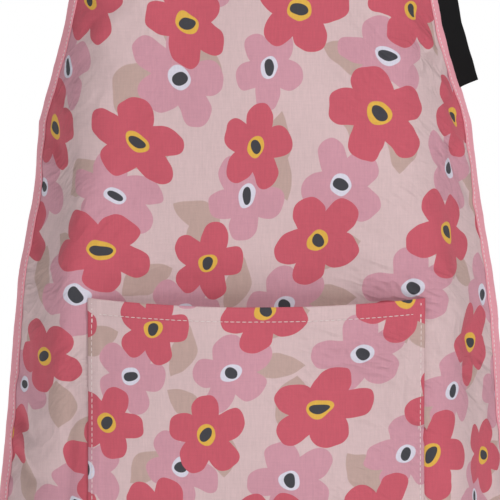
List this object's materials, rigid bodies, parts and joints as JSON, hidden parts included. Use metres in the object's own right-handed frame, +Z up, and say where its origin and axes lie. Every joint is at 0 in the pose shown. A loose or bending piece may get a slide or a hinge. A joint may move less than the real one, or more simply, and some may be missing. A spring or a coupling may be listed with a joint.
{
  "type": "child's gardening apron",
  "caption": "Bib apron in its worn form: bound panel turned round the front, patch pocket, neck strap, waist ties knotted behind and a blank label.",
  "frame": {"origin": "where the neck strap rests on the nape: the middle of the strap's inner face at the back of the neck", "axes": "+Z up, the front of the apron faces -Y, and +X is to the right as seen from the front"},
  "size_m": [0.3323, 0.2042, 0.6114],
  "materials": {
    "printed_cloth": "matte woven cotton with a floral print",
    "binding": "matte woven tape",
    "strap_tape": "matte ribbed tape",
    "label_ribbon": "satin woven ribbon"
  },
  "bodies": {
    "root": {"body_panel": "printed_cloth", "pocket": "printed_cloth", "side_binding_left": "binding", "side_binding_right": "binding", "bib_binding": "binding", "hem_binding": "binding", "neck_strap": "strap_tape", "waist_tie_left": "strap_tape", "waist_tie_right": "strap_tape", "tie_knot": "strap_tape", "tie_tail_left": "strap_tape", "tie_tail_right": "strap_tape", "side_label": "label_ribbon"}
  },
  "joints": []
}
